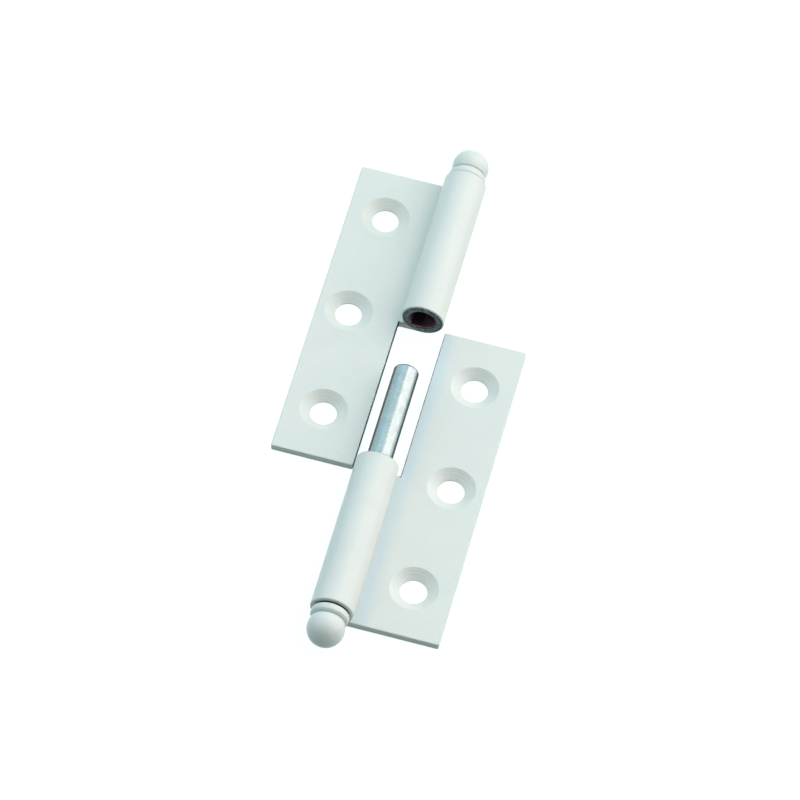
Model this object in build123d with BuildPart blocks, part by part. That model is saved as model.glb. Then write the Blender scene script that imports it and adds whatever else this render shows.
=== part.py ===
from build123d import *
from math import atan, cos, degrees, radians, sin
import os

# Lift-off hinge with ball finials, lying on the backs of its leaves with the two halves drawn apart.
# Y runs along the hinge axis, X across the opened leaves and Z up from the mounting faces.
# The frame half lies towards +X and holds the pin. The door half lies towards -X and hangs on it.
# All sizes are in millimetres.

# Sheet blank, the same for both halves
leaf_height = 80.0  # along the hinge axis
leaf_reach = 24.5  # from the hinge axis to the outer edge
sheet = 1.9  # thickness
level_gap = 0.5  # between the two knuckles, with the leaves level
leaf_clearance = 0.55  # from one half's knuckle to the other half's cut-back edge
edge_break = 0.2  # all round both faces
corner_round = 0.4  # outer corners of the outline
notch_round = 0.3  # inner corner beside the tongue
free_end_round = 0.25  # tip of the rolled tongue
seam_gap = 0.1  # between the tongue's tip and the leaf
free_end_turn = 285.0  # degrees that the tongue is rolled through before its last stretch, left straight

# Screw holes
hole_radius = 3.05
countersink_radius = 5.5
hole_land = 0.4  # straight wall left under the countersink
hole_end_margin = 12.5  # from the leaf's ends to the outer holes
hole_edge_margin = 8.9  # from the leaf's outer edge to the outer holes
hole_stagger = 1.5  # how far the middle hole lies nearer to the outer edge

# Pin, and the bore that the tongue is rolled to
pin_radius = 2.92
running_clearance = 0.08  # between the pin and the bore
pin_tip_chamfer = 0.6
pin_foot_chamfer = 0.4
pin_foot_gap = 0.75  # from the pin's foot to the lower finial's shank
pin_tip_gap = 1.75  # from the pin's tip to the upper finial's shank, with the leaves level

# Ball finials, pressed into the outer ends of both knuckles
press = 0.02  # how much larger the shank is than the bore, on the radius
shank_length = 12.0
shank_chamfer = 0.5
bead_gap = 0.35  # from the knuckle's end to the bead
bead_foot_radius = 4.0
bead_rise = 0.3  # from the bead's foot to its crown
bead_radius = 4.35  # at the middle of the crown
bead_crown = 1.3  # width of the crown
bead_drop = 0.08  # how much lower the crown's two edges lie
bead_fall = 0.6  # from the crown to the bottom of the groove
groove_radius = 3.6
groove_width = 0.25  # from the bottom of the groove to the ball
ball_foot_radius = 3.85
ball_radius = 4.25
ball_rise = 1.85  # from the groove to the ball's widest ring

# From the pin's tip to the mouth of the socket, with the halves drawn apart
mouth_gap = 14.0

# Sizes that follow from the values above
knuckle_length = (leaf_height - level_gap) / 2
bore_radius = pin_radius + running_clearance
knuckle_radius = bore_radius + sheet
cut_back = knuckle_radius + leaf_clearance
hole_x = leaf_reach - hole_edge_margin
countersink_angle = 2 * degrees(atan((countersink_radius - hole_radius) / (sheet - hole_land)))
free_end_slope = radians(free_end_turn - 270)
free_end_height = knuckle_radius * (1 - sin(free_end_slope)) - sheet - seam_gap
free_end = free_end_height / cos(free_end_slope)
shank_radius = bore_radius + press
pin_reach = knuckle_length - shank_length - pin_tip_gap
pin_foot = shank_length + pin_foot_gap
pin_length = knuckle_length - pin_foot + pin_reach
drawn_apart = pin_reach + mouth_gap - level_gap

# Places along the hinge axis, with the origin halfway along the whole
frame_foot = -(drawn_apart + leaf_height) / 2
door_head = -frame_foot

# Each half is drawn on its own seat: X points along the leaf, Y from the knuckle's outer end inwards
frame_seat = Plane(origin=(0, frame_foot, 0), x_dir=(1, 0, 0), z_dir=(0, 0, 1))
door_seat = Plane(origin=(0, door_head, 0), x_dir=(-1, 0, 0), z_dir=(0, 0, 1))


# One sheet: the flat leaf, its rolled knuckle and three countersunk holes
def rolled_leaf(seat):
    section = Plane(origin=seat.origin, x_dir=seat.x_dir, z_dir=-seat.y_dir)
    with BuildPart(seat) as leaf:
        with BuildSketch(seat) as blank:
            with BuildLine():
                Polyline(
                    (0, 0),
                    (leaf_reach, 0),
                    (leaf_reach, leaf_height),
                    (cut_back, leaf_height),
                    (cut_back, knuckle_length),
                    (0, knuckle_length),
                    close=True,
                )
            make_face()
            notch = blank.vertices().sort_by_distance((cut_back, knuckle_length))[0]
            fillet(notch, radius=notch_round)
            corners = [
                blank.vertices().sort_by_distance(corner)[0]
                for corner in ((leaf_reach, 0), (leaf_reach, leaf_height), (cut_back, leaf_height))
            ]
            fillet(corners, radius=corner_round)
        extrude(amount=sheet)

        # The tongue leaves the leaf at its back face, goes round the bore and ends straight, against the leaf
        with BuildSketch(section) as roll:
            with BuildLine():
                outside = CenterArc((0, knuckle_radius), knuckle_radius, -90, -free_end_turn)
                inside = CenterArc((0, knuckle_radius), bore_radius, -90, -free_end_turn)
                outer_end = Line(outside @ 1, outside @ 1 + free_end * (outside % 1))
                inner_end = Line(inside @ 1, inside @ 1 + free_end * (inside % 1))
                Line(outside @ 0, inside @ 0)
                Line(outer_end @ 1, inner_end @ 1)
            make_face()
            tip = [roll.vertices().sort_by_distance(end @ 1)[0] for end in (outer_end, inner_end)]
            fillet(tip, radius=free_end_round)
        extrude(amount=-knuckle_length)

        # Every edge of the sheet's two faces is broken, except along the tongue's tip and root
        upright = leaf.edges().filter_by(Axis.Z)
        along_bore = leaf.edges().filter_by(Axis.Y).filter_by_position(Axis.X, -bore_radius, bore_radius)
        tip_edges = leaf.edges().filter_by(Axis.Y).filter_by_position(Axis.Z, 1.01 * sheet, knuckle_radius)
        chamfer(leaf.edges() - upright - along_bore - tip_edges, length=edge_break)

        with Locations(
            (hole_x, hole_end_margin, sheet),
            (hole_x + hole_stagger, leaf_height / 2, sheet),
            (hole_x, leaf_height - hole_end_margin, sheet),
        ):
            CounterSinkHole(
                radius=hole_radius,
                counter_sink_radius=countersink_radius,
                depth=sheet,
                counter_sink_angle=countersink_angle,
            )
    return leaf


# One turned knob: shank, bead, groove and ball on the hinge axis, pointing out of the given knuckle end
def ball_finial(end_y, outward):
    end = Plane(origin=(0, end_y, knuckle_radius), x_dir=(outward, 0, 0), z_dir=(0, 0, 1))
    crown_start = bead_gap + bead_rise
    crown_end = crown_start + bead_crown
    crown_edge = bead_radius - bead_drop
    groove = crown_end + bead_fall
    ball_foot = groove + groove_width
    ball_middle = ball_foot + ball_rise
    with BuildPart() as finial:
        with BuildSketch(end):
            with BuildLine():
                Polyline(
                    (0, ball_middle + ball_radius),
                    (0, -shank_length),
                    (shank_radius - shank_chamfer, -shank_length),
                    (shank_radius, shank_chamfer - shank_length),
                    (shank_radius, bead_gap),
                    (bead_foot_radius, bead_gap),
                    (crown_edge, crown_start),
                )
                ThreePointArc(
                    (crown_edge, crown_start),
                    (bead_radius, crown_start + bead_crown / 2),
                    (crown_edge, crown_end),
                )
                Polyline((crown_edge, crown_end), (groove_radius, groove), (ball_foot_radius, ball_foot))
                TangentArc((ball_radius, ball_middle), (ball_foot_radius, ball_foot), tangent=(0, -1))
                CenterArc((0, ball_middle), ball_radius, 0, 90)
            make_face()
        revolve(axis=Axis(end.origin, end.y_dir))
    return finial


frame_leaf = rolled_leaf(frame_seat)
door_leaf = rolled_leaf(door_seat)
lower_finial = ball_finial(frame_foot, -1)
upper_finial = ball_finial(door_head, 1)

# Round steel pin, standing out of the frame knuckle towards the door half
pin_seat = Plane(
    origin=(0, frame_foot + pin_foot, knuckle_radius), x_dir=(1, 0, 0), z_dir=(0, 1, 0)
)
with BuildPart() as hinge_pin:
    with BuildSketch(pin_seat):
        Circle(pin_radius)
    extrude(amount=pin_length)
    rings = hinge_pin.edges().filter_by(GeomType.CIRCLE).sort_by(Axis.Y)
    chamfer(rings[0], length=pin_foot_chamfer)
    chamfer(rings[-1], length=pin_tip_chamfer)

frame_leaf.part.label = "frame_leaf"
lower_finial.part.label = "lower_finial"
hinge_pin.part.label = "hinge_pin"
door_leaf.part.label = "door_leaf"
upper_finial.part.label = "upper_finial"

os.makedirs("parts", exist_ok=True)
export_step(frame_leaf.part, "parts/frame_leaf.step")
export_step(lower_finial.part, "parts/lower_finial.step")
export_step(hinge_pin.part, "parts/hinge_pin.step")
export_step(door_leaf.part, "parts/door_leaf.step")
export_step(upper_finial.part, "parts/upper_finial.step")
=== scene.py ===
from math import atan2, cos, hypot, pi, radians, sin, sqrt

import bmesh
import bpy
from mathutils import Matrix, Vector


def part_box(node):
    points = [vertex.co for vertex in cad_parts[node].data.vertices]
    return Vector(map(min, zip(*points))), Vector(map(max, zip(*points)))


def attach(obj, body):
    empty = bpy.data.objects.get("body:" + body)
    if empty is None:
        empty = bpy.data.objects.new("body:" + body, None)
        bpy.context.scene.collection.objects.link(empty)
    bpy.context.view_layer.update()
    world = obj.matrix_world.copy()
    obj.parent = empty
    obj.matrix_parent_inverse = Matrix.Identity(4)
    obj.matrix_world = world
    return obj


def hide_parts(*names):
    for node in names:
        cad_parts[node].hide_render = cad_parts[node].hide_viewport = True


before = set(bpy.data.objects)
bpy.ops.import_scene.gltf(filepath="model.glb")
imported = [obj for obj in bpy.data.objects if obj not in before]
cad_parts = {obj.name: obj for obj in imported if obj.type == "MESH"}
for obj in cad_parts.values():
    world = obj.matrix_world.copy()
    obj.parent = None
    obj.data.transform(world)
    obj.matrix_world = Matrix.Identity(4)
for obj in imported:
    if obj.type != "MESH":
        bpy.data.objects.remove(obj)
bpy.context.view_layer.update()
mm = 0.001

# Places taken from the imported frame
sheetLow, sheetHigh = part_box("frame_leaf")
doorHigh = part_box("door_leaf")[1]
pinLow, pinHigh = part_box("hinge_pin")
axisHeight = (pinLow.z + pinHigh.z) / 2
knuckleRadius = -sheetLow.x
leafReach = sheetHigh.x
leafHeight = sheetHigh.y - sheetLow.y
pinRadius = (pinHigh.x - pinLow.x) / 2
print("frame loaded:", ", ".join(sorted(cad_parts)))

rolledSheet = {
    "thickness": 1.9 * mm,
    "knuckleLength": 39.75 * mm,  # length of the rolled tongue
    "cutBack": 5.45 * mm,  # the edge beside the other half's knuckle
    "cornerRound": 0.45 * mm,  # corners of the outline
    "notchRound": 0.35 * mm,  # inner corner beside the tongue
    "edgeRound": 0.26 * mm,  # both faces' edges, softened by the paint
    "edgeSteps": 4,
    "tipRound": 0.34 * mm,  # free end of the tongue
    "seamGap": 0.1 * mm,  # between the free end and the leaf
    "rollTurn": 285,  # degrees rolled before the last stretch, which stays straight
    "rollSteps": 96,
    "cornerSteps": 6,
}

screwHole = {
    "radius": 3.05 * mm,
    "coneRadius": 5.5 * mm,  # where the countersink meets the face
    "land": 0.4 * mm,  # straight wall under the countersink
    "endMargin": 12.5 * mm,
    "edgeMargin": 8.9 * mm,
    "stagger": 1.5 * mm,  # the middle hole lies nearer to the outer edge
    "rimRound": 0.3 * mm,
    "backRound": 0.14 * mm,
    "rimOvershoot": 1.01,  # the rims' curves reach this far past the faces, to be cut cleanly
    "backOvershoot": 1.02,
    "flare": 0.02 * mm,
    "segments": 96,
}


def arcPoints(centre, radius, start, sweep, steps):
    # points along an arc, angles in degrees
    points = []
    for step in range(steps + 1):
        angle = radians(start + sweep * step / steps)
        points.append((centre[0] + radius * cos(angle), centre[1] + radius * sin(angle)))
    return points


def arcThrough(first, middle, last, steps):
    # points on the circle through three points
    (ax, ay), (bx, by), (cx, cy) = first, middle, last
    d = 2 * (ax * (by - cy) + bx * (cy - ay) + cx * (ay - by))
    aa, bb, cc = ax * ax + ay * ay, bx * bx + by * by, cx * cx + cy * cy
    ux = (aa * (by - cy) + bb * (cy - ay) + cc * (ay - by)) / d
    uy = (aa * (cx - bx) + bb * (ax - cx) + cc * (bx - ax)) / d
    radius = hypot(ax - ux, ay - uy)
    start = atan2(ay - uy, ax - ux)
    viaStart = (atan2(by - uy, bx - ux) - start) % (2 * pi)
    sweep = (atan2(cy - uy, cx - ux) - start) % (2 * pi)
    if viaStart > sweep:
        sweep -= 2 * pi
    return [
        (ux + radius * cos(start + sweep * k / steps), uy + radius * sin(start + sweep * k / steps))
        for k in range(steps + 1)
    ]


def sheetOutline(s):
    # the leaf seen from above, from the knuckle's outer end round to its inner end
    outer, inner, steps = s["cornerRound"], s["notchRound"], s["cornerSteps"]
    cut, length = s["cutBack"], s["knuckleLength"]
    outline = [(0, 0)]
    outline += arcPoints((leafReach - outer, outer), outer, -90, 90, steps)
    outline += arcPoints((leafReach - outer, leafHeight - outer), outer, 0, 90, steps)
    outline += arcPoints((cut + outer, leafHeight - outer), outer, 90, 90, steps)
    outline += arcPoints((cut - inner, length + inner), inner, 0, -90, steps)
    outline.append((0, length))
    return outline


def rollStations(s):
    # pairs of points on the outside and the inside of the rolled tongue, as (x, height)
    outside, inside = knuckleRadius, knuckleRadius - s["thickness"]
    slope = radians(s["rollTurn"] - 270)  # how far the straight end leans inwards
    straight = (outside * (1 - sin(slope)) - s["thickness"] - s["seamGap"]) / cos(slope)
    along, across = Vector((-sin(slope), -cos(slope))), Vector((cos(slope), -sin(slope)))
    middle = Vector((0, axisHeight))
    stations = []
    for step in range(1, s["rollSteps"] + 1):
        angle = -pi / 2 - radians(s["rollTurn"]) * step / s["rollSteps"]
        spoke = Vector((cos(angle), sin(angle)))
        stations.append((middle + outside * spoke, middle + inside * spoke))
    tip = s["tipRound"]
    for step in range(s["cornerSteps"] + 1):
        turn = pi / 2 * step / s["cornerSteps"]
        reach = middle + (straight - tip * (1 - sin(turn))) * along
        sink = tip * (1 - cos(turn))
        stations.append((reach + (outside - sink) * across, reach + (inside + sink) * across))
    return stations


def rollSheet(s):
    # flat leaf and rolled tongue as one closed skin, its outer end at y = 0
    bm = bmesh.new()
    outline = sheetOutline(s)
    bottom = [bm.verts.new((x, y, 0)) for x, y in outline]
    top = [bm.verts.new((x, y, s["thickness"])) for x, y in outline]
    bm.faces.new(top)
    bm.faces.new(bottom[::-1])
    for k in range(len(outline) - 1):
        bm.faces.new((bottom[k], bottom[k + 1], top[k + 1], top[k]))

    ends = (bottom[0], top[0], bottom[-1], top[-1])  # outside and inside, at both ends
    for outside, inside in rollStations(s):
        new = tuple(
            bm.verts.new((x, y, z))
            for y in (0, s["knuckleLength"])
            for x, z in (outside, inside)
        )
        bm.faces.new((ends[0], new[0], new[2], ends[2]))
        bm.faces.new((ends[1], ends[3], new[3], new[1])).material_index = 1  # the bore
        bm.faces.new((ends[0], ends[1], new[1], new[0]))
        bm.faces.new((ends[2], new[2], new[3], ends[3]))
        ends = new
    bm.faces.new((ends[0], ends[1], ends[3], ends[2]))
    bmesh.ops.recalc_face_normals(bm, faces=bm.faces)

    edgeFilm = bm.faces.layers.float.new("edgeFilm")  # 1 on rounded edges, where the paint is thinner
    sharp = [edge for edge in bm.edges if edge.is_manifold and edge.calc_face_angle() > radians(50)]
    rounded = bmesh.ops.bevel(
        bm, geom=sharp, offset=s["edgeRound"], offset_type="OFFSET", segments=s["edgeSteps"],
        profile=0.5, affect="EDGES", clamp_overlap=False,
    )
    for face in rounded["faces"]:
        face[edgeFilm] = 1
    return bm


def spin(profile, segments, place):
    # turns a profile of (radius, distance along the axis) into a closed skin
    bm = bmesh.new()
    rings = []
    for radius, along in profile:
        if radius == 0:
            rings.append([bm.verts.new(place(0, 0, along))])
        else:
            rings.append(
                [
                    bm.verts.new(place(radius * cos(angle), radius * sin(angle), along))
                    for angle in (2 * pi * k / segments for k in range(segments))
                ]
            )
    for low, high in zip(rings, rings[1:]):
        for k in range(segments):
            following = k + 1
            corners = (
                low[k % len(low)], low[following % len(low)],
                high[following % len(high)], high[k % len(high)],
            )
            bm.faces.new(list(dict.fromkeys(corners)))  # a triangle where one ring is a point
    bmesh.ops.recalc_face_normals(bm, faces=bm.faces)
    return bm


def addPiece(name, bm):
    mesh = bpy.data.meshes.new(name)
    bm.to_mesh(mesh)
    bm.free()
    piece = bpy.data.objects.new(name, mesh)
    bpy.context.scene.collection.objects.link(piece)
    return piece


def softenShading(piece, angle):
    piece.data.shade_smooth()
    piece.data.set_sharp_from_angle(angle=radians(angle))
    weighted = piece.modifiers.new("weightedNormals", "WEIGHTED_NORMAL")
    weighted.keep_sharp = True


def holeCutter(h, x, y):
    # drill and countersink in one, flared where it leaves either face
    rim, back, thickness = h["rimRound"], h["backRound"], rolledSheet["thickness"]
    depth = thickness - h["land"]
    slope = atan2(h["coneRadius"] - h["radius"], depth)  # the cone's wall, from upright
    reach = rim * (1 - sin(slope)) / cos(slope)  # how far the rim's curve runs out over the face
    profile = [(0, -thickness), (h["radius"] + back, -thickness)]
    profile += arcPoints((h["radius"] + back, back * h["backOvershoot"]), back, -105, -75, 5)
    profile += [(h["radius"], h["land"])]
    centre = (h["coneRadius"] + reach, thickness - rim * h["rimOvershoot"])
    startAngle = 180 - slope * 180 / pi
    profile += arcPoints(centre, rim, startAngle, 100 - startAngle, 6)
    profile += [(profile[-1][0] + h["flare"], 2 * thickness), (0, 2 * thickness)]

    def place(u, v, along):
        return x + u, y + v, along

    return spin(profile, h["segments"], place)


def makeLeaf(name, s, h, side, foot):
    # side is +1 towards +X, and -1 for the same sheet turned end for end
    leaf = addPiece(name, rollSheet(s))
    holeX = leafReach - h["edgeMargin"]
    holes = (
        (holeX, h["endMargin"]),
        (holeX + h["stagger"], leafHeight / 2),
        (holeX, leafHeight - h["endMargin"]),
    )
    cutters = []
    for x, y in holes:
        cutter = addPiece("cutter", holeCutter(h, x, y))
        cut = leaf.modifiers.new("hole", "BOOLEAN")
        cut.operation, cut.solver, cut.object = "DIFFERENCE", "EXACT", cutter
        cutters.append(cutter)
    bpy.context.view_layer.update()
    drilled = bpy.data.meshes.new_from_object(leaf.evaluated_get(bpy.context.evaluated_depsgraph_get()))
    leaf.modifiers.clear()
    for cutter in cutters:
        bpy.data.objects.remove(cutter)
    drilled.transform(Matrix.Translation((0, foot, 0)) @ Matrix.Diagonal((side, side, 1, 1)))
    drilled.name = name
    leaf.data = drilled
    softenShading(leaf, 38)
    return leaf


frameSheet = makeLeaf("frameSheet", rolledSheet, screwHole, 1, sheetLow.y)
doorSheet = makeLeaf("doorSheet", rolledSheet, screwHole, -1, doorHigh.y)
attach(frameSheet, "frame_half")
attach(doorSheet, "door_half")
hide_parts("frame_leaf")
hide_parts("door_leaf")
print("rolled sheets:", len(frameSheet.data.polygons), "and", len(doorSheet.data.polygons), "faces")

ballKnob = {
    "shankRadius": 3.0 * mm,
    "shankLength": 12.0 * mm,
    "shankChamfer": 0.5 * mm,
    "beadStart": 0.35 * mm,  # gap to the knuckle's end
    "beadFootRadius": 4.0 * mm,
    "crownStart": 0.65 * mm,
    "crownEdgeRadius": 4.27 * mm,
    "beadRadius": 4.35 * mm,
    "crownEnd": 1.95 * mm,
    "grooveRadius": 3.6 * mm,
    "grooveMiddle": 2.55 * mm,
    "ballFootRadius": 3.85 * mm,
    "grooveEnd": 2.8 * mm,
    "cornerCut": 0.13 * mm,  # how far from each corner its rounding starts
    "ballRadius": 4.25 * mm,
    "ballMiddle": 4.65 * mm,
    "segments": 128,
}


def roundCorner(before, corner, after, cut):
    # a short curve in place of a corner between two straight stretches
    before, corner, after = Vector(before), Vector(corner), Vector(after)
    first = corner + cut * (before - corner).normalized()
    last = corner + cut * (after - corner).normalized()
    curve = []
    for step in range(6):
        share = step / 5
        curve.append(tuple((1 - share) ** 2 * first + 2 * share * (1 - share) * corner + share ** 2 * last))
    return curve


def knobProfile(k):
    profile = [
        (0, -k["shankLength"]),
        (k["shankRadius"] - k["shankChamfer"], -k["shankLength"]),
        (k["shankRadius"], k["shankChamfer"] - k["shankLength"]),
        (k["shankRadius"], k["beadStart"]),
    ]
    crown = arcThrough(
        (k["crownEdgeRadius"], k["crownStart"]),
        (k["beadRadius"], (k["crownStart"] + k["crownEnd"]) / 2),
        (k["crownEdgeRadius"], k["crownEnd"]),
        8,
    )
    foot = (k["beadFootRadius"], k["beadStart"])
    groove = (k["grooveRadius"], k["grooveMiddle"])
    ballFoot = (k["ballFootRadius"], k["grooveEnd"])
    profile += roundCorner(profile[-1], foot, crown[0], k["cornerCut"])
    profile += roundCorner(foot, crown[0], crown[1], k["cornerCut"])
    profile += crown[2:-2]
    profile += roundCorner(crown[-2], crown[-1], groove, k["cornerCut"])
    profile += roundCorner(crown[-1], groove, ballFoot, k["cornerCut"])
    profile.append(ballFoot)
    # a slack curve from the groove to the ball's widest ring, upright where they meet
    rise, swell = k["ballMiddle"] - k["grooveEnd"], k["ballRadius"] - k["ballFootRadius"]
    barrel = (rise * rise + swell * swell) / (2 * swell)
    for step in range(1, 11):
        along = rise * (1 - step / 10)
        radius = k["ballRadius"] - barrel + sqrt(barrel * barrel - along * along)
        profile.append((radius, k["ballMiddle"] - along))
    profile += arcPoints((0, k["ballMiddle"]), k["ballRadius"], 0, 90, 32)[1:-1]
    profile.append((0, k["ballMiddle"] + k["ballRadius"]))
    return profile


def makeKnob(name, k, end, outward):
    def place(u, v, along):
        return u, end + outward * along, axisHeight + v

    knob = addPiece(name, spin(knobProfile(k), k["segments"], place))
    softenShading(knob, 40)
    return knob


lowerKnob = makeKnob("lowerKnob", ballKnob, sheetLow.y, -1)
upperKnob = makeKnob("upperKnob", ballKnob, doorHigh.y, 1)
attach(lowerKnob, "frame_half")
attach(upperKnob, "door_half")
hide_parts("lower_finial")
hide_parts("upper_finial")
print("knobs:", len(lowerKnob.data.polygons), "faces each")

steelPin = {
    "footChamfer": 0.4 * mm,
    "tipRound": 0.75 * mm,  # along the axis
    "tipInset": 0.85 * mm,  # across it
    "domeRise": 0.06 * mm,  # the end face isn't quite flat
    "segments": 128,
}


def pinProfile(p):
    length = pinHigh.y - pinLow.y
    profile = [(0, 0), (pinRadius - p["footChamfer"], 0), (pinRadius, p["footChamfer"])]
    faceStart = length - p["domeRise"]
    for step in range(13):
        turn = pi / 2 * step / 12
        profile.append(
            (
                pinRadius - p["tipInset"] * (1 - cos(turn)),
                faceStart - p["tipRound"] * (1 - sin(turn)),
            )
        )
    flat = profile[-1][0]
    for step in range(1, 5):
        share = 1 - step / 5
        profile.append((flat * share, faceStart + p["domeRise"] * (1 - share * share)))
    profile.append((0, length))
    return profile


def makePin(name, p):
    def place(u, v, along):
        return u, pinLow.y + along, axisHeight + v

    turnedPin = addPiece(name, spin(pinProfile(p), p["segments"], place))
    softenShading(turnedPin, 40)
    return turnedPin


zincPin = makePin("zincPin", steelPin)
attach(zincPin, "pin")
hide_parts("hinge_pin")
print("pin:", len(zincPin.data.polygons), "faces")


def addNode(tree, kind, label="", inputs=None, **settings):
    made = tree.nodes.new(kind)
    made.label = label
    for key, value in settings.items():
        setattr(made, key, value)
    for key, value in (inputs or {}).items():
        if isinstance(value, bpy.types.NodeSocket):
            tree.links.new(value, made.inputs[key])
        else:
            made.inputs[key].default_value = value
    return made


def newGroup(name, inputs, outputs):
    group = bpy.data.node_groups.new(name, "ShaderNodeTree")
    for label, kind, value in inputs:
        socket = group.interface.new_socket(label, in_out="INPUT", socket_type=kind)
        if value is not None:
            socket.default_value = value
    for label, kind in outputs:
        group.interface.new_socket(label, in_out="OUTPUT", socket_type=kind)
    return group, group.nodes.new("NodeGroupInput"), group.nodes.new("NodeGroupOutput")


def newMaterial(name):
    material = bpy.data.materials.new(name)
    material.use_nodes = True
    tree = material.node_tree
    tree.nodes.clear()
    shader = tree.nodes.new("ShaderNodeBsdfPrincipled")
    output = tree.nodes.new("ShaderNodeOutputMaterial")
    tree.links.new(shader.outputs["BSDF"], output.inputs["Surface"])
    return material, tree, shader


def noise(tree, place, size, detail=2.0, roughness=0.5):
    # size is the width of one grain
    settings = {"Vector": place, "Detail": detail, "Roughness": roughness}
    grain = addNode(tree, "ShaderNodeTexNoise", inputs=settings)
    if isinstance(size, bpy.types.NodeSocket):
        tree.links.new(maths(tree, "DIVIDE", 1.0, size), grain.inputs["Scale"])
    else:
        grain.inputs["Scale"].default_value = 1 / size
    return grain.outputs[0]


def maths(tree, operation, *values):
    made = addNode(tree, "ShaderNodeMath", operation=operation, inputs=dict(enumerate(values)))
    return made.outputs[0]


def multiply(tree, first, *others):
    product = first
    for value in others:
        product = maths(tree, "MULTIPLY", product, value)
    return product


def farFrom(tree, value, middle):
    # how far the value lies from the middle, on either side
    return maths(tree, "ABSOLUTE", maths(tree, "SUBTRACT", value, middle))


def longSide(tree, first, second):
    # of a right-angled triangle
    return maths(tree, "SQRT", maths(tree, "MULTIPLY_ADD", first, first, multiply(tree, second, second)))


def surfacePoint(tree):
    return tree.nodes.new("ShaderNodeTexCoord").outputs["Object"]


def pointParts(tree):
    return addNode(tree, "ShaderNodeSeparateXYZ", inputs={0: surfacePoint(tree)}).outputs


def ramp(tree, value, low, high, start=0.0, end=1.0):
    # a smooth step from start to end as the value goes from low to high
    made = addNode(
        tree, "ShaderNodeMapRange", interpolation_type="SMOOTHSTEP",
        inputs={"Value": value, "From Min": low, "From Max": high, "To Min": start, "To Max": end},
    )
    return made.outputs[0]


def blendColours(tree, share, first, second):
    made = addNode(tree, "ShaderNodeMix", data_type="RGBA")
    for socket, value in ((made.inputs[0], share), (made.inputs[6], first), (made.inputs[7], second)):
        if isinstance(value, bpy.types.NodeSocket):
            tree.links.new(value, socket)
        else:
            socket.default_value = value
    return made.outputs[2]


def makeOrangePeel():
    # soft waves of a sprayed and baked film, and a finer grain over them
    group, given, out = newGroup(
        "orangePeel",
        [
            ("Wave Size", "NodeSocketFloat", 1.3 * mm),
            ("Grain Size", "NodeSocketFloat", 0.22 * mm),
            ("Grain", "NodeSocketFloat", 0.25),
        ],
        [("Height", "NodeSocketFloat")],
    )
    place = surfacePoint(group)
    waves = noise(group, place, given.outputs["Wave Size"], 1.5, 0.4)
    grain = noise(group, place, given.outputs["Grain Size"], 3.0, 0.6)
    height = maths(group, "MULTIPLY_ADD", grain, given.outputs["Grain"], waves)
    group.links.new(height, out.inputs["Height"])
    return group


def makeMottle():
    # slow drift of tone over a surface
    group, given, out = newGroup(
        "mottle",
        [
            ("Colour", "NodeSocketColor", (1, 1, 1, 1)),
            ("Other Colour", "NodeSocketColor", (1, 1, 1, 1)),
            ("Size", "NodeSocketFloat", 9 * mm),
            ("Amount", "NodeSocketFloat", 0.5),
        ],
        [("Colour", "NodeSocketColor")],
    )
    place = surfacePoint(group)
    drift = ramp(group, noise(group, place, given.outputs["Size"], 4.0, 0.6), 0.32, 0.68)
    share = multiply(group, drift, given.outputs["Amount"])
    colour = blendColours(group, share, given.outputs["Colour"], given.outputs["Other Colour"])
    group.links.new(colour, out.inputs["Colour"])
    return group


def makeSpecks():
    # scattered spots: Cover says how much of the surface they take
    group, given, out = newGroup(
        "specks",
        [
            ("Size", "NodeSocketFloat", 0.3 * mm),
            ("Cover", "NodeSocketFloat", 0.4),
            ("Edge", "NodeSocketFloat", 0.05),
        ],
        [("Mask", "NodeSocketFloat")],
    )
    place = surfacePoint(group)
    spots = noise(group, place, given.outputs["Size"], 3.0, 0.65)
    level = ramp(group, given.outputs["Cover"], 0.0, 1.0, 0.72, 0.28)
    low = maths(group, "SUBTRACT", level, given.outputs["Edge"])
    high = maths(group, "ADD", level, given.outputs["Edge"])
    group.links.new(ramp(group, spots, low, high), out.inputs["Mask"])
    return group


def useGroup(tree, group, **values):
    made = tree.nodes.new("ShaderNodeGroup")
    made.node_tree = group
    for key, value in values.items():
        socket = made.inputs[key.replace("_", " ")]
        if isinstance(value, bpy.types.NodeSocket):
            tree.links.new(value, socket)
        else:
            socket.default_value = value
    return made.outputs[0]


orangePeel, mottle, specks = makeOrangePeel(), makeMottle(), makeSpecks()

paintCoat = {
    "colour": (0.86, 0.853, 0.785, 1),
    "otherColour": (0.83, 0.828, 0.765, 1),
    "driftSize": 7 * mm,
    "filmColour": (0.68, 0.75, 0.73, 1),  # thinner over the edges
    "filmShare": 0.35,
    "creaseShadowColour": (0.715, 0.80, 0.815, 1),  # painted shadow, bluish, on the leaf beside the roll
    "gapShadeColour": (0.004, 0.02, 0.022, 1),  # painted shade, near black, in the gap behind the bead
    # painted shade on the groove's slope
    "grooveShadeColour": (0.5, 0.59, 0.585, 1),
    "smoothest": 0.30,  # roughness, from patch to patch
    "roughest": 0.38,
    "peelHeight": 0.035 * mm,
}

sheetMarksAndShade = {
    "creaseStart": 5.8 * mm,  # from the axis, where the painted shadow begins to fade
    "creaseEnd": 9.6 * mm,
    "creaseLeft": 0.15,  # how much of it the door half shows
    "turnPitch": 0.7 * mm,  # from one turning mark to the next in the countersinks
    "turnWander": 1.5,
    "turnHeight": 0.25,
    "gapRadius": 4.0 * mm,  # of the end face hidden behind the bead, darkened there as painted shade
    "gapDepth": 0.12 * mm,
}

knobPaintedShade = {
    "grooveWidth": 0.42 * mm,  # to either side of the groove's bottom
    "grooveCore": 0.16 * mm,
    "grooveShare": 0.8,
    "gapDepth": 0.09 * mm,  # of the painted shade strip on the bead's hidden side
}

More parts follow.
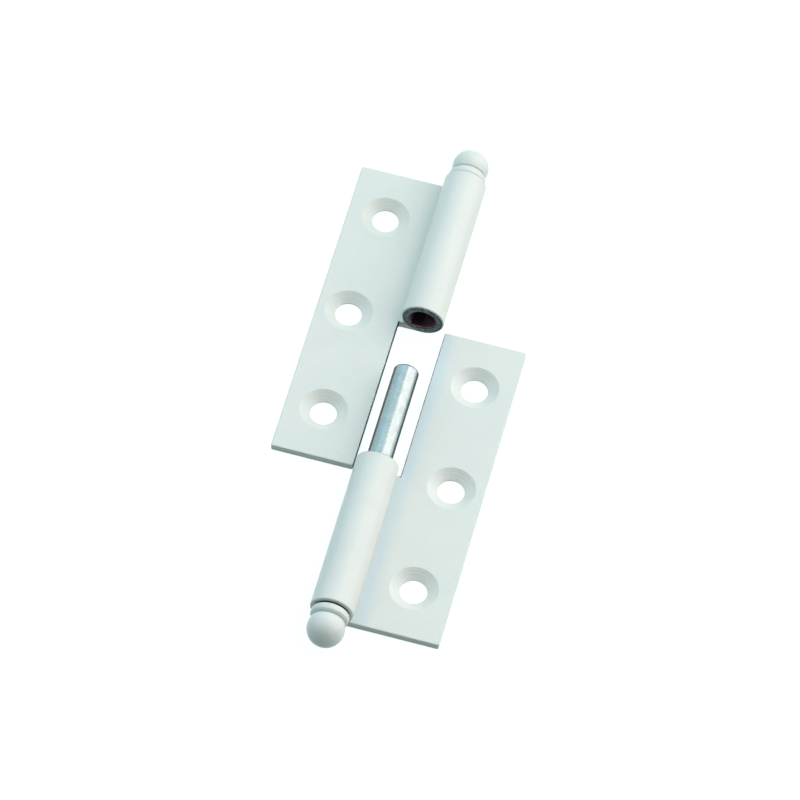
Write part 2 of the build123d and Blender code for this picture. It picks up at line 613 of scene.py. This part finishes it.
bareEdges = {
    "ringFromAxis": knuckleRadius - 0.3 * mm,  # the mouth's ring is bare out to here
    "ringRagged": 0.46 * mm,
    "ringDepth": 0.2 * mm,  # how far round the mouth's edge the bare steel comes
    "hatchPitch": 0.48 * mm,
    "hatchDepth": 0.06 * mm,
    "cutWidth": 0.16 * mm,  # of the punched edge, in from the cut
    "cutRagged": 0.3 * mm,
    "stepShare": 0.4,  # how bare the short step beside the mouth is
    "steel": (0.24, 0.31, 0.32, 1),
    "darkSteel": (0.007, 0.024, 0.027, 1),
    "outerRim": 0.42 * mm,  # widths of the ring's two dark lines
    "innerRim": 0.4 * mm,
    "rimShare": 0.92,
    "boreSteelShadeColour": (0.13, 0.05, 0.085, 1),  # the stretch of leaf that closes the bore: bare steel, darkened further as painted shade
    "metal": 0.6,
    "roughness": 0.55,
    "pitting": 2.0,  # height of its pits beside the orange peel
}


def finishPaint(tree, shader, colour, roughness, height):
    tree.links.new(colour, shader.inputs["Base Color"])
    tree.links.new(roughness, shader.inputs["Roughness"])
    settings = {"Height": height, "Distance": paintCoat["peelHeight"], "Strength": 1.0}
    bump = addNode(tree, "ShaderNodeBump", inputs=settings)
    tree.links.new(bump.outputs["Normal"], shader.inputs["Normal"])


def sprayedFilm(tree, p):
    # colour, roughness and height of the plain coat
    tones = {"Colour": p["colour"], "Other_Colour": p["otherColour"]}
    colour = useGroup(tree, mottle, **tones, Size=p["driftSize"], Amount=0.8)
    patches = {"Colour": (0, 0, 0, 1), "Other_Colour": (1, 1, 1, 1)}
    drift = useGroup(tree, mottle, **patches, Size=2.5 * mm, Amount=1.0)
    roughness = ramp(tree, drift, 0.0, 1.0, p["smoothest"], p["roughest"])
    height = useGroup(tree, orangePeel, Wave_Size=1.2 * mm, Grain_Size=0.2 * mm, Grain=0.22)
    return colour, roughness, height


def makeSheetPaint(p, marksAndShade, b):
    material, tree, shader = newMaterial("sheetPaint")
    colour, roughness, height = sprayedFilm(tree, p)
    film = addNode(tree, "ShaderNodeAttribute", attribute_name="edgeFilm").outputs["Fac"]
    patchy = useGroup(tree, specks, Size=0.9 * mm, Cover=0.6, Edge=0.2)
    colour = blendColours(tree, multiply(tree, film, patchy, p["filmShare"]), colour, p["filmColour"])
    # painted shadow on the leaf beside the roll
    colour = blendColours(tree, creaseShadowMask(tree, marksAndShade), colour, p["creaseShadowColour"])
    # painted shade in the gap behind the bead
    colour = blendColours(tree, gapShadeMask(tree, marksAndShade), colour, p["gapShadeColour"])
    height = maths(tree, "MULTIPLY_ADD", turningMarks(tree, marksAndShade), marksAndShade["turnHeight"], height)

    steel, bare = makeBareEdges(tree, b)
    pits = useGroup(tree, specks, Size=0.16 * mm, Cover=0.5, Edge=0.25)
    colour = blendColours(tree, bare, colour, steel)
    roughness = ramp(tree, bare, 0.0, 1.0, roughness, b["roughness"])
    height = maths(tree, "MULTIPLY_ADD", multiply(tree, bare, pits), b["pitting"], height)
    tree.links.new(multiply(tree, bare, b["metal"]), shader.inputs["Metallic"])
    finishPaint(tree, shader, colour, roughness, height)
    return material


def makeKnobPaint(p, marksAndShade):
    material, tree, shader = newMaterial("knobPaint")
    colour, roughness, height = sprayedFilm(tree, p)
    lengthways = maths(tree, "ABSOLUTE", pointParts(tree)["Y"])
    along = maths(tree, "SUBTRACT", lengthways, -sheetLow.y)
    # painted shade in the groove between bead and ball
    fromGroove = farFrom(tree, along, ballKnob["grooveMiddle"])
    groove = ramp(tree, fromGroove, marksAndShade["grooveWidth"], marksAndShade["grooveCore"], 0.0, marksAndShade["grooveShare"])
    # painted shade in the gap between the knuckle's end and the bead
    gapStart = ballKnob["beadStart"] + marksAndShade["gapDepth"]
    gap = ramp(tree, along, gapStart, gapStart - 0.06 * mm)
    colour = blendColours(tree, groove, colour, p["grooveShadeColour"])
    colour = blendColours(tree, gap, colour, p["gapShadeColour"])
    finishPaint(tree, shader, colour, roughness, height)
    return material


def creaseShadowMask(tree, marksAndShade):
    # painted shadow on the leaf's face beside the roll
    parts = pointParts(tree)
    onFace = ramp(tree, farFrom(tree, parts["Z"], rolledSheet["thickness"]), 0.1 * mm, 0.03 * mm)
    beside = ramp(tree, maths(tree, "ABSOLUTE", parts["X"]), marksAndShade["creaseEnd"], marksAndShade["creaseStart"])
    half = ramp(tree, parts["X"], 0.0, 1 * mm, marksAndShade["creaseLeft"], 1.0)
    return multiply(tree, onFace, beside, half)


def gapShadeMask(tree, marksAndShade):
    # painted shade on the knuckle's end behind the bead
    parts, end = pointParts(tree), -sheetLow.y
    fromAxis = longSide(tree, maths(tree, "SUBTRACT", parts["Z"], axisHeight), parts["X"])
    lengthways = maths(tree, "ABSOLUTE", parts["Y"])
    atEnd = ramp(tree, lengthways, end - marksAndShade["gapDepth"], end - marksAndShade["gapDepth"] / 2)
    return multiply(tree, atEnd, ramp(tree, fromAxis, marksAndShade["gapRadius"], marksAndShade["gapRadius"] - 0.12 * mm))


def turningMarks(tree, marksAndShade):
    # one set of holes serves both halves: the door half is turned round, and the outer two fold together
    parts = pointParts(tree)
    sideways, side = maths(tree, "ABSOLUTE", parts["X"]), maths(tree, "SIGN", parts["X"])
    along = farFrom(tree, multiply(tree, parts["Y"], side), sheetLow.y + leafHeight / 2)
    outerX = leafReach - screwHole["edgeMargin"]
    fromHoles = []
    for holeX, holeY in (
        (outerX + screwHole["stagger"], 0),
        (outerX, leafHeight / 2 - screwHole["endMargin"]),
    ):
        across = maths(tree, "SUBTRACT", sideways, holeX)
        lengthways = maths(tree, "SUBTRACT", along, holeY)
        fromHoles.append(longSide(tree, across, lengthways))
    fromHole = maths(tree, "MINIMUM", *fromHoles)
    wander = multiply(tree, noise(tree, surfacePoint(tree), 0.8 * mm, 2.0, 0.5), marksAndShade["turnWander"])
    waves = maths(tree, "SINE", maths(tree, "MULTIPLY_ADD", fromHole, 2 * pi / marksAndShade["turnPitch"], wander))
    face = rolledSheet["thickness"]
    sunk = ramp(tree, parts["Z"], face - 0.02 * mm, face - 0.12 * mm)
    rim = screwHole["coneRadius"] + 0.3 * mm
    return multiply(tree, waves, sunk, ramp(tree, fromHole, rim + 0.2 * mm, rim))


def makeBareEdges(tree, b):
    # both halves are the same sheet turned about the middle, so distances from it serve for the two
    place, parts = surfacePoint(tree), pointParts(tree)
    sideways, lengthways = maths(tree, "ABSOLUTE", parts["X"]), maths(tree, "ABSOLUTE", parts["Y"])
    height = maths(tree, "SUBTRACT", parts["Z"], axisHeight)
    fromAxis = longSide(tree, height, sideways)
    mouth = -(sheetLow.y + rolledSheet["knuckleLength"])
    bore = knuckleRadius - rolledSheet["thickness"]
    cutBack = rolledSheet["cutBack"]

    # the mouth's ring, its outline broken by dashes that run with the radius
    turn = multiply(tree, maths(tree, "ARCTAN2", height, parts["X"]), knuckleRadius)
    drawnOut = {0: turn, 1: multiply(tree, fromAxis, 0.3), 2: multiply(tree, lengthways, 0.3)}
    drawnPlace = addNode(tree, "ShaderNodeCombineXYZ", inputs=drawnOut).outputs[0]
    dashes = maths(tree, "SUBTRACT", noise(tree, drawnPlace, 0.16 * mm, 2.0, 0.6), 0.5)
    hatch = maths(tree, "SINE", multiply(tree, turn, 2 * pi / b["hatchPitch"]))
    reach = maths(tree, "MULTIPLY_ADD", hatch, b["hatchDepth"], fromAxis)
    reach = maths(tree, "MULTIPLY_ADD", dashes, b["ringRagged"], reach)
    ring = ramp(tree, reach, b["ringFromAxis"] + 0.03 * mm, b["ringFromAxis"] - 0.03 * mm)
    ring = multiply(tree, ring, ramp(tree, lengthways, mouth + b["ringDepth"], mouth + b["ringDepth"] * 0.6))

    # the punched edge beside the other half's knuckle
    ragged = maths(tree, "SUBTRACT", noise(tree, place, 0.24 * mm, 3.0, 0.7), 0.5)
    fromCut = maths(tree, "MULTIPLY_ADD", ragged, b["cutRagged"], maths(tree, "SUBTRACT", sideways, cutBack))
    cut = ramp(tree, fromCut, b["cutWidth"] + 0.04 * mm, b["cutWidth"] - 0.04 * mm)
    besideMouth = ramp(tree, lengthways, mouth + 0.3 * mm, mouth + 0.2 * mm)
    scattered = useGroup(tree, specks, Size=1.6 * mm, Cover=0.8, Edge=0.16)
    onStep = ramp(tree, sideways, cutBack - 0.3 * mm, cutBack - 0.1 * mm, b["stepShare"], 1.0)
    cut = multiply(tree, cut, besideMouth, scattered, onStep)

    # the leaf's own face closes the bore under the tongue's free end; it takes the bore's dark tone, bare
    # steel darkened as painted shade
    level = ramp(tree, farFrom(tree, height, -bore), 0.12 * mm, 0.08 * mm)
    inside = multiply(tree, level, ramp(tree, sideways, 3.5 * mm, 3.4 * mm))
    inside = multiply(tree, inside, ramp(tree, lengthways, mouth + 0.25 * mm, mouth + 0.35 * mm))

    steel = useGroup(tree, mottle, Colour=b["steel"], Other_Colour=b["darkSteel"], Size=0.6 * mm, Amount=0.85)
    outerRim = ramp(tree, reach, b["ringFromAxis"] - b["outerRim"], b["ringFromAxis"] - 0.1 * mm)
    innerRim = ramp(tree, fromAxis, bore + b["innerRim"], bore + 0.12 * mm)
    rims = multiply(tree, maths(tree, "MAXIMUM", outerRim, innerRim), b["rimShare"])
    dark = maths(tree, "MAXIMUM", rims, multiply(tree, cut, 0.75))
    steel = blendColours(tree, dark, steel, b["darkSteel"])
    # the bore's dark tone: bare steel with painted shade
    steel = blendColours(tree, inside, steel, b["boreSteelShadeColour"])
    return steel, maths(tree, "MAXIMUM", maths(tree, "MAXIMUM", ring, cut), inside)


# dark bare steel of the bore, darkened further as painted shade
boreSteelAndShade = {
    "colour": (0.17, 0.06, 0.11, 1),
    "otherColour": (0.25, 0.14, 0.19, 1),
    "roughness": 0.7,
    "gloss": 0.08,
}


def makeBore(b):
    # inside of the roll: bare, oiled and never sprayed, its colour darkened further as painted shade
    material, tree, shader = newMaterial("bareBoreAndShade")
    tones = {"Colour": b["colour"], "Other_Colour": b["otherColour"]}
    colour = useGroup(tree, mottle, **tones, Size=1.2 * mm, Amount=0.9)
    tree.links.new(colour, shader.inputs["Base Color"])
    shader.inputs["Roughness"].default_value = b["roughness"]
    shader.inputs["Specular IOR Level"].default_value = b["gloss"]
    height = useGroup(tree, orangePeel, Wave_Size=0.6 * mm, Grain_Size=0.1 * mm, Grain=0.6)
    bump = addNode(tree, "ShaderNodeBump", inputs={"Height": height, "Distance": 0.01 * mm, "Strength": 1.0})
    tree.links.new(bump.outputs["Normal"], shader.inputs["Normal"])
    return material


zincPlate = {
    "colour": (0.535, 0.57, 0.532, 1),
    "otherColour": (0.372, 0.416, 0.422, 1),
    "darkSlantReflection": (0.03, 0.06, 0.08, 1),  # painted dark reflection, where the pin is seen at a slant
    "roughness": 0.25,
    "streakWidth": 0.32 * mm,
    "streakLength": 3.6 * mm,
    "streakHeight": 0.035 * mm,
    "slantStart": 0.46,  # Layer Weight's Facing, where the painted dark reflection begins
    "slantEnd": 0.62,
}


def makeZinc(z):
    material, tree, shader = newMaterial("zincPlate")
    stretch = (1, z["streakWidth"] / z["streakLength"], 1)
    factors = {0: surfacePoint(tree), 1: stretch}
    drawn = addNode(tree, "ShaderNodeVectorMath", operation="MULTIPLY", inputs=factors)
    streaks = noise(tree, drawn.outputs[0], z["streakWidth"], 4.0, 0.65)
    tones = {"Colour": z["colour"], "Other_Colour": z["otherColour"]}
    clouds = useGroup(tree, mottle, **tones, Size=1.6 * mm, Amount=0.6)
    grains = useGroup(tree, specks, Size=0.34 * mm, Cover=0.5, Edge=0.1)
    colour = blendColours(tree, ramp(tree, streaks, 0.4, 0.75, 0.0, 0.7), clouds, z["otherColour"])
    colour = blendColours(tree, multiply(tree, grains, 0.6), colour, z["otherColour"])
    slant = addNode(tree, "ShaderNodeLayerWeight", inputs={"Blend": 0.5}).outputs["Facing"]
    # painted dark reflection along the pin's sides
    colour = blendColours(tree, ramp(tree, slant, z["slantStart"], z["slantEnd"]), colour, z["darkSlantReflection"])
    roughness = ramp(tree, streaks, 0.3, 0.7, z["roughness"] - 0.06, z["roughness"] + 0.1)
    tree.links.new(colour, shader.inputs["Base Color"])
    tree.links.new(roughness, shader.inputs["Roughness"])
    settings = {"Height": streaks, "Distance": z["streakHeight"], "Strength": 1.0}
    bump = addNode(tree, "ShaderNodeBump", inputs=settings)
    tree.links.new(bump.outputs["Normal"], shader.inputs["Normal"])
    shader.inputs["Metallic"].default_value = 1.0
    return material


sheetPaint = makeSheetPaint(paintCoat, sheetMarksAndShade, bareEdges)
knobPaint = makeKnobPaint(paintCoat, knobPaintedShade)
bareBoreAndShade = makeBore(boreSteelAndShade)
zinc = makeZinc(zincPlate)

for piece, materials in (
    (frameSheet, (sheetPaint, bareBoreAndShade)),
    (doorSheet, (sheetPaint, bareBoreAndShade)),
    (lowerKnob, (knobPaint,)),
    (upperKnob, (knobPaint,)),
    (zincPin, (zinc,)),
):
    slots = piece.data.materials
    kept = [face.material_index for face in piece.data.polygons]
    slots.clear()
    for material in materials:
        slots.append(material)
    piece.data.polygons.foreach_set("material_index", kept)
for name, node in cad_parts.items():
    node.data.materials.clear()
    node.data.materials.append(zinc if name == "hinge_pin" else knobPaint)
print("materials ready")

studio = {
    "floorSize": 30.0,
    "floorDrop": 0.03 * mm,  # below the leaves' backs
    "floorColour": (0.19, 0.33, 0.34, 1),
    "floorGlow": 0.9,  # white added where the ground is seen, so that it is white and keeps the shadow
    "airColour": (0.76, 0.97, 1.0, 1),
    "airStrength": 0.17,
}

# Large soft panels round the table: where each hangs from the hinge, its distance, width, power and colour
softPanels = {
    "keyPanel": ((1.2, 0.62, 1.0), 1.35, 2.1, 21.0, (0.985, 0.973, 0.975)),
    "leftPanel": ((-0.85, 0.62, 1.0), 1.3, 2.1, 11.0, (0.58, 0.86, 1.0)),
    "topPanel": ((-0.05, 0.4, 1.0), 1.5, 2.2, 3.0, (0.98, 0.98, 0.98)),
    "lowPanel": ((-1.0, -0.3, 0.6), 1.3, 1.3, 2.1, (0.92, 1.0, 0.98)),
}


def makeFloor(s):
    half = s["floorSize"] / 2
    bm = bmesh.new()
    corners = ((-half, -half), (half, -half), (half, half), (-half, half))
    bm.faces.new([bm.verts.new((x, y, -s["floorDrop"])) for x, y in corners])
    floor = addPiece("floor", bm)
    material, tree, shader = newMaterial("paleGround")
    shader.inputs["Base Color"].default_value = s["floorColour"]
    shader.inputs["Roughness"].default_value = 0.9
    shader.inputs["Specular IOR Level"].default_value = 0.0
    path = tree.nodes.new("ShaderNodeLightPath").outputs
    seen = maths(tree, "MAXIMUM", path["Is Camera Ray"], path["Is Glossy Ray"])
    seen = maths(tree, "MAXIMUM", seen, path["Is Transmission Ray"])
    light = {"Color": (1, 1, 1, 1), "Strength": multiply(tree, seen, s["floorGlow"])}
    emission = addNode(tree, "ShaderNodeEmission", inputs=light)
    both = addNode(tree, "ShaderNodeAddShader", inputs={0: shader.outputs[0], 1: emission.outputs[0]})
    tree.links.new(both.outputs[0], tree.nodes["Material Output"].inputs["Surface"])
    floor.data.materials.append(material)


def makeAir(s):
    world = bpy.data.worlds.new("studioAir")
    bpy.context.scene.world = world
    world.use_nodes = True
    tree = world.node_tree
    tree.nodes.clear()
    light = {"Color": s["airColour"], "Strength": s["airStrength"]}
    air = addNode(tree, "ShaderNodeBackground", inputs=light)
    output = tree.nodes.new("ShaderNodeOutputWorld")
    tree.links.new(air.outputs["Background"], output.inputs["Surface"])


def addPanel(name, direction, distance, width, power, colour):
    lamp = bpy.data.lights.new(name, "AREA")
    lamp.shape, lamp.size, lamp.energy, lamp.color = "DISK", width, power, colour
    holder = bpy.data.objects.new(name, lamp)
    bpy.context.scene.collection.objects.link(holder)
    away = Vector(direction).normalized()
    holder.location = away * distance
    holder.rotation_euler = away.to_track_quat("Z", "Y").to_euler()


makeFloor(studio)
makeAir(studio)
for name, panel in softPanels.items():
    addPanel(name, *panel)
print("studio ready")

photoCamera = {
    "azimuth": 9.61,
    "elevation": 56.81,
    "roll": 5.98,
    "distance": 1.1463,
    "focal": 5085.4,  # in pixels of the 800 pixel frame
    "framePixels": 800,
    "target": (-0.017 * mm, 0.868 * mm, 0),
}


def makeCamera(c):
    data = bpy.data.cameras.new("photoCamera")
    camera = bpy.data.objects.new("photoCamera", data)
    bpy.context.scene.collection.objects.link(camera)
    azimuth, elevation, roll = (radians(c[key]) for key in ("azimuth", "elevation", "roll"))
    back = Vector((sin(azimuth) * cos(elevation), -cos(azimuth) * cos(elevation), sin(elevation)))
    right = Vector((0, 0, 1)).cross(back).normalized()
    up = back.cross(right)
    turnedRight = cos(roll) * right + sin(roll) * up
    turnedUp = cos(roll) * up - sin(roll) * right
    pose = Matrix((turnedRight, turnedUp, back)).transposed().to_4x4()
    pose.translation = Vector(c["target"]) + back * c["distance"]
    camera.matrix_world = pose
    data.sensor_width = 36
    data.lens = c["focal"] / c["framePixels"] * data.sensor_width
    data.clip_start, data.clip_end = 0.05, 20
    bpy.context.scene.camera = camera


makeCamera(photoCamera)
bpy.context.scene.view_settings.view_transform = "Standard"
print("camera ready")
